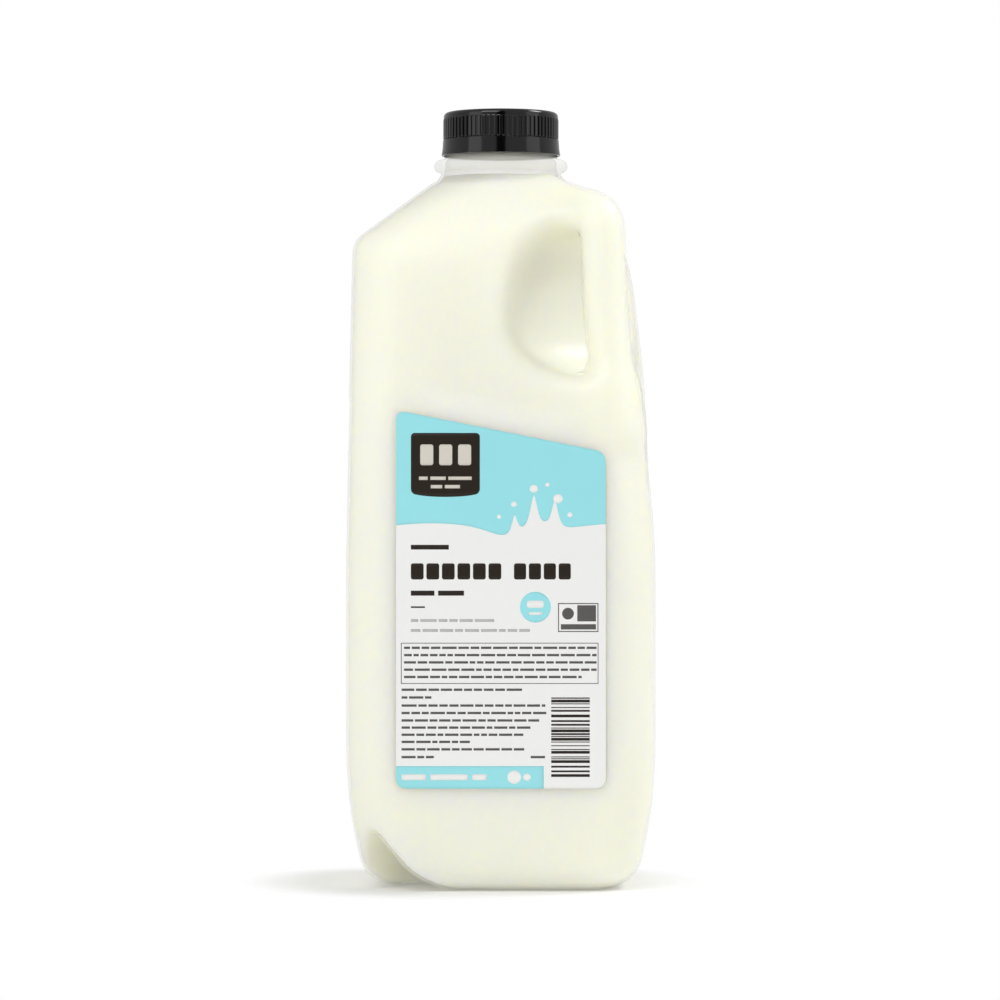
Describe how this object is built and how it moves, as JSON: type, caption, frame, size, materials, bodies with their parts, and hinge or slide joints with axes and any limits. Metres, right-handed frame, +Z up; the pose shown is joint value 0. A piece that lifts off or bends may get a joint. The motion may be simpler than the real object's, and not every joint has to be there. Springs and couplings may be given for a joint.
{
  "type": "plastic milk jug",
  "caption": "Square blow-moulded milk jug, filled with milk, with a corner handle, a ribbed screw cap over a tamper band, and a plain colour-field label.",
  "frame": {"origin": "on the ground at the centre of the base, under the neck's axis", "axes": "+Z up along the neck's axis, -Y towards the label's side, +X to the right of the label; the handle stands on the corner between +X and -Y"},
  "size_m": [0.1008, 0.1008, 0.256],
  "materials": {
    "jug_plastic": "natural translucent polyethylene, satin, the milk's cream colour showing through",
    "milk": "opaque skimmed milk, slightly greenish cream",
    "label_film": "satin printed film, fields of pale blue and white",
    "cap_plastic": "glossy black moulded plastic, fine ribs"
  },
  "bodies": {
    "root": {"jug": "jug_plastic", "milk": "milk", "label": "label_film", "cap": "cap_plastic", "tamper_band": "cap_plastic"}
  },
  "joints": []
}
